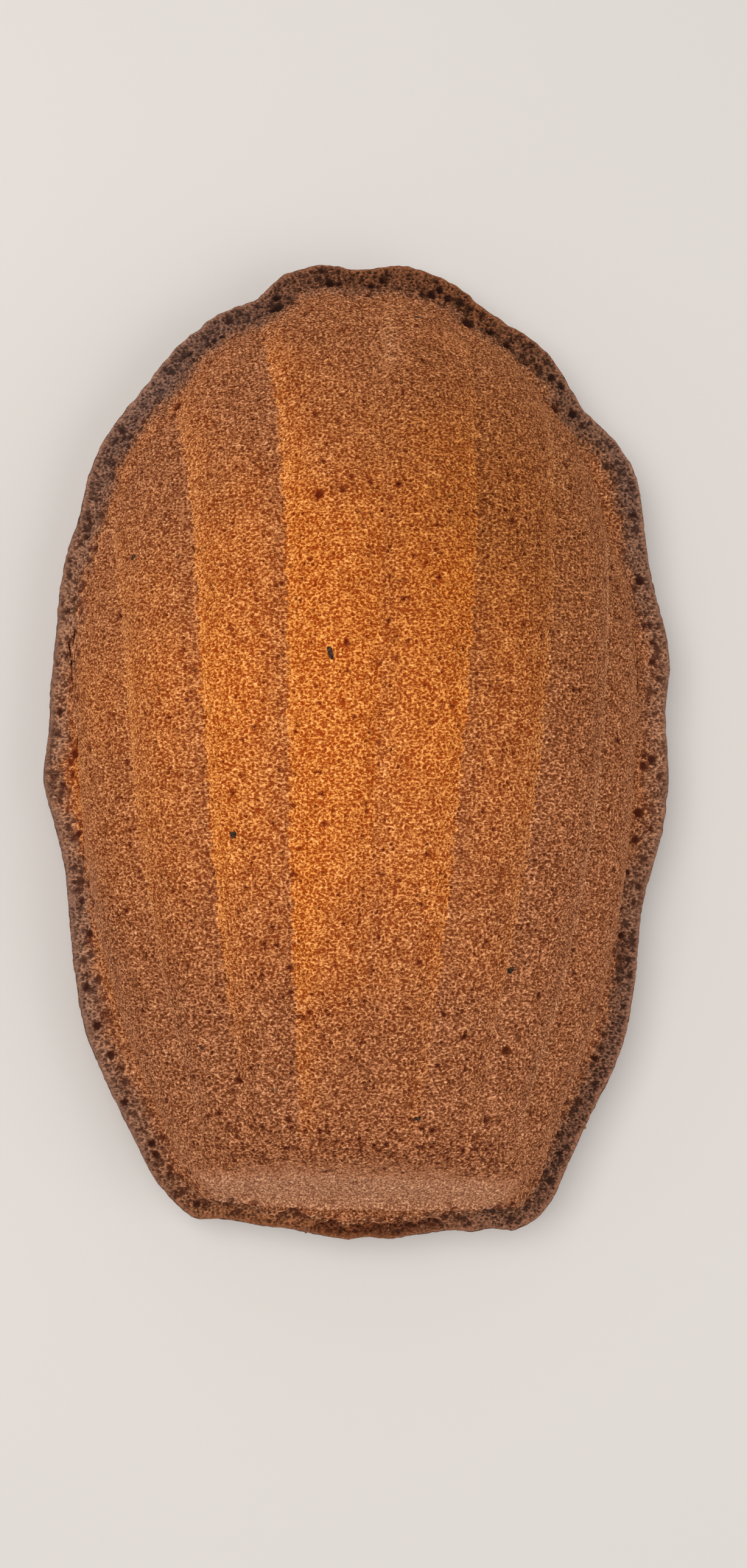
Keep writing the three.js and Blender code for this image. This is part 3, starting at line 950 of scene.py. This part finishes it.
RIM_BY_BEARING = [  # bearing in degrees, how burnt, how far in the rim's tone reaches in mm, how grey
    (-180, 0, 7.5, 0.1), (-165, 0, 7.5, 0.1), (-150, 0.05, 8.5, 0.5), (-135, 0.1, 8.5, 0.4),
    (-120, 0.3, 7.5, 0.1), (-105, 0.65, 6, -1), (-90, 0.4, 5.5, -1), (-75, 0.85, 7, 0.1),
    (-60, 1, 8.5, 0.2), (-45, 0.85, 8, 0.4), (-30, 0.4, 9, 0.1), (-15, 0.15, 8, 0), (0, 0, 8, -0.1),
    (15, 0.1, 8.5, 0.1), (30, 0.4, 8.5, 0.4), (45, 0.9, 9.5, 0.8), (60, 0.95, 9.5, 0.4),
    (75, 1, 10, -0.7), (90, 1, 10.5, -0.6), (105, 0.95, 11, 0.4), (120, 0.9, 10.5, 0.9),
    (135, 0.7, 9.5, 0.5), (150, 0.25, 8.5, 0.2), (165, 0.05, 7.5, -0.1),
]
ragged_rib = np.abs(foam_rib) + RIB_WAVER * wave(foam_points, 1.3 * MM, seed=8)
rib_number = np.clip(np.floor(ragged_rib), 0, HALF_RIBS - 1).astype(int)
rib_phase = np.clip(ragged_rib - rib_number, 0, 1)


def padded(foam_values, edge_value, under_value):
    """Foam values, then one value for the edge rings and one for the underside."""
    return np.concatenate([foam_values, np.full(len(edge_rings) * EDGE_COUNT, edge_value),
                           np.full(len(hump_points), under_value)])


def by_rib(table):
    """A number for each point from the rib it lies on, counted outwards from the middle valley."""
    return np.array(table)[np.where(foam_rib < 0, 0, 1), rib_number]


def spot(place, reach, speed=1.0):
    """1 at a place of the plan, fading away round it."""
    return np.exp(-speed * (((foam_points[:, :2] - place) / reach) ** 2).sum(1))


in_flutes = band(foam_along, FLUTES_START, FLUTES_STOP) * (foam_rim == 0)
in_valley = sum(0.5 * np.exp(-((rib_phase / width) ** 2)) for width in SHEEN_AND_SHADE_WIDTHS)
on_flank = smoothstep(rib_phase, *RIB_FLANK) * in_flutes
on_crest = smoothstep(rib_phase, *CREST_LINE) * in_flutes
# Where the painted sheen spot lies.
in_sheen_spot = spot(SHEEN_SPOT, SHEEN_SPOT_REACH)
at_narrow_end = SHEEN_AND_SHADE_AT_NARROW_END * smoothstep(-foam_points[:, 1], *SHEEN_AND_SHADE_SPAN)
at_narrow_end *= 1 - LESS_SHEEN_AND_SHADE_ON_FLANKS * on_flank
# Painted sheen and shade beside the valleys and towards the narrow end.
painted_sheen_and_shade = 1 - (1 - by_rib(SHEEN_AND_SHADE_BY_VALLEY) * in_valley * in_flutes) * (1 - at_narrow_end)
painted_sheen_and_shade = np.maximum(painted_sheen_and_shade, SHEEN_SPOT_GREY * in_sheen_spot)
# Painted highlights, the paler line along each rib's outer edge and the pale sheen spot, lessen the pore
# colour.
painted_highlight = np.maximum(by_rib(CREST_HIGHLIGHT) * on_crest, SHEEN_SPOT_PALENESS * in_sheen_spot)
rim_bearings, *rim_columns = np.array(RIM_BY_BEARING).T
bearings = np.degrees(np.arctan2(skin_points[:, 1], skin_points[:, 0]))
burnt, reach, grey = (np.interp(bearings, rim_bearings, column, period=360) for column in rim_columns)
inwards_share = (from_edge + ragged + fine_ragged) / (reach[:foam_count] * MM)
rim_tone = 1 - smoothstep(inwards_share, *RIM_TONE_SHARE)
# Browning, partly real and partly painted shade: least left of the crown's middle, more towards the
# sides, ends and outer ribs.
browned_and_shaded = 1 - spot(BRIGHTEST_AND_LEAST_BROWNED, BROWNING_AND_SHADE_REACH, BROWNING_AND_SHADE_SPEED) + by_rib(RIB_BROWNING_AND_SHADE) * in_flutes
browned_and_shaded = np.maximum(browned_and_shaded, rim_tone)
grey = grey[:foam_count] * (1 - smoothstep(inwards_share, *GREY_SHARE))
lip = 1 - smoothstep(from_edge + LIP_RAGGED * ragged, *LIP_SPAN)
hump_height, hump_crease = hump_points[:, 2], crease[:len(hump_points)]
burnt[:foam_count] *= 1 - smoothstep(inwards_share, *BURNT_SHARE)
burnt[hump_start:] *= HUMP_BURNT * smoothstep(hump_height, *HUMP_BURNT_SPAN)
under_browned = UNDER_BROWNED + MORE_BROWNED * smoothstep(hump_height, *MORE_BROWNED_SPAN)
# Painted shade in the creases.
under_browned += UNDER_PATCHES * wave(hump_points, 9 * MM, seed=33) + CREASE_SHADE * hump_crease
under_browned = np.clip(under_browned, 0, 1)
edge_pores = np.random.default_rng(EDGE_PORE_SEED).random(len(skin_points))[foam_count:hump_start]
values = {
    "pore": padded(pore_value - painted_highlight, edge_pores, UNDER_PORE + CREASE_PORE * hump_crease),
    "painted_pit_shade": padded(smoothstep(painted_pit_shade_amount, *PIT_SPAN), 0, 0),
    "lip": padded(lip, 1, 0),
    "burnt": burnt,
    "greyed": padded(GREY_STRENGTH * np.maximum(grey, 0), GREY_EDGE, 0),
    "warmed": padded(np.maximum(-grey, 0), 0, 0),
    "rim": padded(rim_tone, 1, 0),
    "painted_sheen_and_shade": padded(painted_sheen_and_shade, 0, 0),
    "painted_flank_light": padded(by_rib(FLANK_LIGHT_BY_RIB) * on_flank, 0, 0),
    "darker_upper_right": padded(spot(DARKER_PATCH_AT, DARKER_PATCH_REACH), 0, 0),
    "browned_and_shaded": padded(browned_and_shaded, 1, under_browned),
    "end_wall": padded(end_wall, 0, 0),
    "under": padded(np.zeros(foam_count), UNDER_ON_EDGE, 1 - UNDER_LOST_TO_BROWNING * under_browned),
}
cake = new_mesh_object("madeleine_crust", skin_points, skin_faces)
for name, numbers in values.items():
    set_values(cake, name, numbers)
cake.data.materials.append(crust_material)
cake.data.polygons.foreach_set("use_smooth", np.ones(len(skin_faces), bool))
for helper in (top_sheet, hump_sheet):
    bpy.data.objects.remove(helper)
print("attributes:", list(values))

# %% [markdown]
# ## Crust colours
# The crumb's walls are pale and its pores are darker, because less light comes out of them. The walls are
# browned where the mould was hottest, and that browning is partly painted shade: it is least just left of
# the crown's middle and grows towards the sides, the ends and the outer ribs, and painted light on each
# rib's outer flank takes some of it away. So the material mixes a wall colour and a pore colour by the
# depth kept on each point. Both turn from orange to brown, and then to each zone's own colour: the pale
# end wall, lightened by a painted sheen, the painted sheen and shade beside the valleys, towards the
# narrow end and on a spot near the wide end, the rim with its lip, burnt or grey in places, and the
# underside. Painted highlights lie along each rib's outer edge and as a glint on the highest wall tops.
# Over that come a warm tint on parts of the rim, painted shade in bubbles, the hollow and deep pores, and
# a darker patch on the upper right.

# %% Node helpers
NOISE_DETAIL = 2.0


def srgb(*screen):
    """A colour as a screen shows it, 0 to 255, turned into the linear values that shaders take."""
    shares = [value / 255 for value in screen]
    return (*(c / 12.92 if c <= 0.04045 else ((c + 0.055) / 1.055) ** 2.4 for c in shares), 1)


def start_material(material, inputs):
    """Clears a material down to one shader, and sets what goes into it."""
    material.use_nodes = True
    tree = material.node_tree
    tree.nodes.clear()
    shader = add_node(tree, "ShaderNodeBsdfPrincipled", inputs)
    add_node(tree, "ShaderNodeOutputMaterial", {"Surface": shader})
    return tree, shader


def mixed(tree, share, first, second, way="MIX"):
    inputs = {"Factor": share, "A": first, "B": second}
    return add_node(tree, "ShaderNodeMix", inputs, data_type="RGBA", blend_type=way).outputs["Result"]


def maths(tree, operation, first, second):
    return add_node(tree, "ShaderNodeMath", {0: first, 1: second}, operation=operation)


def vector_maths(tree, operation, first, second):
    inputs = {0: first, "Scale" if operation == "SCALE" else 1: second}
    return add_node(tree, "ShaderNodeVectorMath", inputs, operation=operation)


def remap(tree, value, low, high, to_low=0.0, to_high=1.0):
    inputs = {"Value": value, "From Min": low, "From Max": high, "To Min": to_low, "To Max": to_high}
    return add_node(tree, "ShaderNodeMapRange", inputs, interpolation_type="SMOOTHSTEP")


def kept_value(tree, name):
    return add_node(tree, "ShaderNodeAttribute", attribute_name=name).outputs["Fac"]


def noise_of(tree, size, roughness=0.5, stretch=(1, 1, 1)):
    """Noise on Object coordinates, with bumps of about that size in metres."""
    place = tree.nodes.new("ShaderNodeTexCoord").outputs["Object"]
    place = vector_maths(tree, "DIVIDE", place, stretch)
    inputs = {"Vector": place, "Scale": 1 / size, "Detail": NOISE_DETAIL, "Roughness": roughness}
    return add_node(tree, "ShaderNodeTexNoise", inputs)


# %% Crust material
ORANGE = ((255, 169, 82), (156, 58, 0))
ZONES = {  # the colours of walls and pores in each zone, laid over orange in this order
    "browned_and_shaded": ((204, 134, 91), (102, 49, 19)),
    # The end wall's pale colour is its own, lightened further by a painted sheen.
    "end_wall": ((205, 148, 114), (141, 88, 61)),
    # Colours of the painted sheen and shade.
    "painted_sheen_and_shade": ((203, 137, 96), (106, 53, 24)),
    "rim": ((214, 158, 124), (92, 56, 40)),
    "lip": ((140, 102, 84), (86, 58, 48)),
    "burnt": ((150, 100, 76), (48, 28, 18)),
    "greyed": ((162, 124, 108), (62, 45, 42)),
    "under": ((200, 142, 92), (122, 70, 38)),
}
# A painted highlight: a pale glint on the highest wall tops.
GLINT = srgb(255, 218, 174)
# Of these, the pit shade is painted shade in bubbles, the hollow and deep pores.
SHADES = {"warmed": srgb(255, 232, 196), "painted_pit_shade": srgb(146, 88, 66), "darker_upper_right": srgb(238, 228, 190)}
PATCH_SIZE, PATCH_RANGE = 18 * MM, (0.35, 0.65, -0.05, 0.05)
GRAIN_SIZE, GRAIN_ROUGHNESS, GRAIN_RANGE = 0.45 * MM, 0.6, (0.2, 0.8, -0.75, 0.75)
CRUMB_STRETCH, END_WALL_STRETCH = (1.3, 0.9, 1.0), (1.0, 1.5, 2.6)
MOTTLE_SIZE, MOTTLE_RANGE = 2.5 * MM, (0.3, 0.7, -0.02, 0.02)
PORE_WEIGHT, PORE_RANGE = 0.7, (-0.32, 0.7)
GLINT_STRENGTH, GLINT_RANGE = 0.7, (-0.75, -0.15, 1.0, 0.0)
GRAIN_LOST_ON_RIM, GLINT_LOST_ON_RIM = 0.45, 0.8
GLOSS_SIZE, ROUGHNESS_RANGE = 0.7 * MM, (0.3, 0.7, 0.4, 0.7)
BUMP_STRENGTH, BUMP_DISTANCE = 0.6, 0.3 * MM

tree, shader = start_material(crust_material, {"Specular IOR Level": 0.06})
patch = remap(tree, noise_of(tree, PATCH_SIZE), *PATCH_RANGE)
# Browning, partly painted shade, with random patches laid on.
browning_and_shade = maths(tree, "ADD", kept_value(tree, "browned_and_shaded"), patch)
# Painted light on the ribs' outer flanks takes browning away.
browning_and_shade = remap(tree, maths(tree, "SUBTRACT", browning_and_shade, kept_value(tree, "painted_flank_light")), 0.0, 1.0)


def by_zone(side):
    """Orange, and over it each zone's own colour. Side 0 is for walls and side 1 for pores."""
    colour = srgb(*ORANGE[side])
    for name, colours in ZONES.items():
        share = browning_and_shade if name == "browned_and_shaded" else kept_value(tree, name)
        colour = mixed(tree, share, colour, srgb(*colours[side]))
    return colour


def grain_of(stretch):
    return noise_of(tree, GRAIN_SIZE, GRAIN_ROUGHNESS, stretch)


def less_on_rim(value, lost):
    kept = maths(tree, "SUBTRACT", 1.0, maths(tree, "MULTIPLY", kept_value(tree, "rim"), lost))
    return maths(tree, "MULTIPLY", value, kept)


grain = mixed(tree, kept_value(tree, "end_wall"), grain_of(CRUMB_STRETCH), grain_of(END_WALL_STRETCH))
grain = less_on_rim(remap(tree, grain, *GRAIN_RANGE), GRAIN_LOST_ON_RIM)
mottle = remap(tree, noise_of(tree, MOTTLE_SIZE), *MOTTLE_RANGE)
depth = maths(tree, "ADD", maths(tree, "MULTIPLY", kept_value(tree, "pore"), PORE_WEIGHT), grain)
depth = maths(tree, "ADD", depth, mottle)
in_pore = remap(tree, depth, *PORE_RANGE)
colour = mixed(tree, in_pore, by_zone(0), by_zone(1))
# A painted glint on the highest wall tops, less on the rim.
painted_glint = maths(tree, "MULTIPLY", remap(tree, depth, *GLINT_RANGE), GLINT_STRENGTH)
colour = mixed(tree, less_on_rim(painted_glint, GLINT_LOST_ON_RIM), colour, GLINT)
for name, shade in SHADES.items():
    colour = mixed(tree, kept_value(tree, name), colour, shade, "MULTIPLY")
plug(tree, shader.inputs["Base Color"], colour)
plug(tree, shader.inputs["Roughness"], remap(tree, noise_of(tree, GLOSS_SIZE), *ROUGHNESS_RANGE))
bump_inputs = {"Strength": BUMP_STRENGTH, "Distance": BUMP_DISTANCE, "Height": in_pore}
plug(tree, shader.inputs["Normal"], add_node(tree, "ShaderNodeBump", bump_inputs, invert=True))
print("crust nodes:", len(tree.nodes))

# %% Stand for the solid cake
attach(cake, "root")
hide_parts("madeleine")
print("cake triangles:", len(cake.data.polygons))

# %% [markdown]
# ## Flecks and crumbs
# Bits of burnt batter from an earlier baking stuck to the mould and stayed in the crust as dark flecks,
# each 1 to 3 mm long. Crumbs that broke off the rim lie on it. Both are lumps: a ball that one Geometry
# Nodes tree sets on each point, stretches, turns to the surface and makes ragged.

# %% A tree that sets lumps on points
LUMP_RAGGEDNESS = 1.2
LUMP_GRAIN = 0.5 * MM


def named(tree, name, kind):
    return add_node(tree, "GeometryNodeInputNamedAttribute", {"Name": name}, data_type=kind)


def lump_tree(name, material):
    tree, given = new_tree(name, {"Raggedness": 0.5, "Grain": 0.5 * MM, "Roundness": 2})
    ball = add_node(tree, "GeometryNodeMeshIcoSphere", {"Subdivisions": given["Roundness"]})
    turn = add_node(tree, "FunctionNodeEulerToRotation", {"Euler": named(tree, "turned", "FLOAT_VECTOR")})
    stand = add_node(tree, "GeometryNodeInstanceOnPoints", {
        "Points": given["Geometry"], "Instance": ball, "Rotation": turn,
        "Scale": named(tree, "half_sizes", "FLOAT_VECTOR"),
    })
    real = add_node(tree, "GeometryNodeRealizeInstances", {"Geometry": stand})
    grain = add_node(tree, "ShaderNodeTexNoise", {"Scale": maths(tree, "DIVIDE", 1.0, given["Grain"])})
    away = vector_maths(tree, "SUBTRACT", grain.outputs["Color"], (0.5, 0.5, 0.5))
    reach = maths(tree, "MULTIPLY", given["Raggedness"], named(tree, "half_width", "FLOAT"))
    offset = vector_maths(tree, "SCALE", away, reach)
    move = add_node(tree, "GeometryNodeSetPosition", {"Geometry": real, "Offset": offset})
    return finish_tree(tree, move, material)


def lumps_on(name, indices, half_sizes, turns, material, sunk, roundness):
    """Makes one mesh of lumps on foam points, each turned to the surface and sunk into it."""
    points = foam_shaped[indices] - foam_normals[indices] * (half_sizes[:, 2] * sunk)[:, None]
    angles = []
    for normal, turn in zip(foam_normals[indices], np.radians(turns)):
        up = Vector(normal)
        across = up.cross(Vector((math.cos(turn), math.sin(turn), 0))).normalized()
        angles.append(tuple(Matrix((across.cross(up), across, up)).transposed().to_euler()))
    seeds = new_mesh_object(name + "_points", points, [])
    set_values(seeds, "turned", angles, "FLOAT_VECTOR", "vector")
    set_values(seeds, "half_sizes", half_sizes, "FLOAT_VECTOR", "vector")
    set_values(seeds, "half_width", half_sizes[:, 1])
    sizes = {"Raggedness": LUMP_RAGGEDNESS, "Grain": LUMP_GRAIN, "Roundness": roundness}
    mesh = run_tree(seeds, lump_tree(name + "_lumps", material), sizes)
    bpy.data.objects.remove(seeds)
    piece = show(bpy.data.objects.new(name, mesh))
    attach(piece, "root")
    print(name, len(indices), "lumps,", len(mesh.polygons), "triangles")


# %% Burnt flecks
FLECKS = [  # x and y in mm, half length and half width in mm, turn in degrees
    (11.9, 94.9, 0.8, 0.5, 0), (50.9, 44.3, 0.9, 0.8, 30), (-10.5, 14.4, 1.5, 0.5, 108),
    (-50.9, 38.6, 0.7, 0.5, 20), (-29.9, -21.8, 0.8, 0.7, 0), (27.9, -49.9, 0.8, 0.6, 55),
    (-36.3, -65.4, 0.6, 0.3, 140), (8.4, -80.3, 1.2, 0.5, 5), (-43.4, -39.5, 0.6, 0.4, 70),
    (46, 62.5, 0.6, 0.5, 0),
]
FLECK_THICKNESS = 0.35 * MM
LUMP_SHINE = {"Roughness": 0.7, "Specular IOR Level": 0.1}
LUMP_MOTTLE_SIZE, LUMP_MOTTLE_RANGE = 0.4 * MM, (0.35, 0.65)


def lump_material(name, dark, pale):
    material = bpy.data.materials.new(name)
    tree, shader = start_material(material, LUMP_SHINE)
    share = remap(tree, noise_of(tree, LUMP_MOTTLE_SIZE), *LUMP_MOTTLE_RANGE)
    plug(tree, shader.inputs["Base Color"], mixed(tree, share, srgb(*dark), srgb(*pale)))
    return material


burnt_batter = lump_material("burnt_batter", (32, 20, 14), (78, 56, 44))
fleck_sizes = np.array([(length * MM, width * MM, FLECK_THICKNESS) for _, _, length, width, _ in FLECKS])
fleck_turns = [fleck[-1] for fleck in FLECKS]
lumps_on("burnt_flecks", nearest_foam(FLECKS), fleck_sizes, fleck_turns, burnt_batter,
         sunk=0.15, roundness=3)

# %% Crumbs on the rim
CRUMB_COUNT = 110
CRUMB_SEED = 41
CRUMBS_ON_RIM = (0.1, 0.95)
CRUMBS_EVERYWHERE = 0.25
SMALLEST_CRUMB, LARGEST_CRUMB = 0.16 * MM, 0.42 * MM
FLATTEST_CRUMB, CRUMB_VARIETY = 0.7, 0.6
LARGER_CRUMBS = [  # x, y and half size in mm
    (49.8, -86.4, 0.6), (-21, -73.9, 0.45), (19.4, -108.2, 0.5), (5, -109.2, 0.45), (-13, -107.9, 0.8),
    (13, -108.7, 0.7), (68.8, -0.1, 0.5), (-42.8, 87.4, 0.5),
]

draw = np.random.default_rng(CRUMB_SEED)
on_top = (foam_rim > CRUMBS_ON_RIM[0]) & (foam_rim < CRUMBS_ON_RIM[1])
on_top_of_rim = np.flatnonzero(on_top & ~is_edge)
weight = CRUMBS_EVERYWHERE + burnt[on_top_of_rim]
crumb_indices = draw.choice(on_top_of_rim, CRUMB_COUNT, replace=False, p=weight / weight.sum())
crumb_half = SMALLEST_CRUMB + (LARGEST_CRUMB - SMALLEST_CRUMB) * draw.random(CRUMB_COUNT) ** 2
crumb_indices = np.concatenate([crumb_indices, nearest_foam(LARGER_CRUMBS)])
crumb_half = np.concatenate([crumb_half, [half * MM for *_, half in LARGER_CRUMBS]])
crumb_shapes = FLATTEST_CRUMB + CRUMB_VARIETY * draw.random((len(crumb_half), 3))
crumb_turns = draw.random(len(crumb_half)) * 360
loose_crumb = lump_material("loose_crumb", (84, 52, 36), (152, 106, 78))
lumps_on("rim_crumbs", crumb_indices, crumb_half[:, None] * crumb_shapes, crumb_turns, loose_crumb,
         sunk=0.45, roundness=2)

# %% [markdown]
# ## Floor and light
# The floor is plain and pale. A large lamp high on the left, a weaker one on the right and the room's
# light all round show the crumb's relief without hard shadows.

# %% Floor
FLOOR_HALF = 3.0
floor_corners = [(x * FLOOR_HALF, y * FLOOR_HALF, 0) for x, y in ((-1, -1), (1, -1), (1, 1), (-1, 1))]
floor = new_mesh_object("floor", floor_corners, [(0, 1, 2, 3)])
floor_material = bpy.data.materials.new("pale_floor")
start_material(floor_material, {"Base Color": srgb(210, 208, 208), "Roughness": 0.6})
floor.data.materials.append(floor_material)
print("floor half width in m:", FLOOR_HALF)

# %% Lights
WORLD_LIGHT = srgb(240, 236, 231)
HORIZON_STRENGTH, ZENITH_STRENGTH = 1.3, 0.15
LAMPS = {  # place and size in metres, power in watts and colour
    "key": ((-0.3, 0.1, 0.95), 0.7, 7.2, (255, 250, 242)),
    "fill": ((0.6, -0.3, 0.8), 0.8, 3.0, (255, 250, 244)),
}

for name, (place, size, power, colour) in LAMPS.items():
    data = bpy.data.lights.new(name, "AREA")
    data.size = size
    data.energy = power
    data.color = srgb(*colour)[:3]
    lamp = show(bpy.data.objects.new(name, data))
    lamp.location = place
    lamp.rotation_euler = (-Vector(place)).to_track_quat("-Z", "Y").to_euler()
world = bpy.data.worlds.new("room")
world.use_nodes = True
room = world.node_tree
direction = room.nodes.new("ShaderNodeTexCoord").outputs["Generated"]
upward = add_node(room, "ShaderNodeSeparateXYZ", {"Vector": direction}).outputs["Z"]
strength = remap(room, upward, 0.0, 1.0, HORIZON_STRENGTH, ZENITH_STRENGTH)
background = room.nodes["Background"]
plug(room, background.inputs["Color"], WORLD_LIGHT)
plug(room, background.inputs["Strength"], strength)
bpy.context.scene.world = world
bpy.context.scene.view_settings.view_transform = "Standard"
print("lamps:", list(LAMPS))
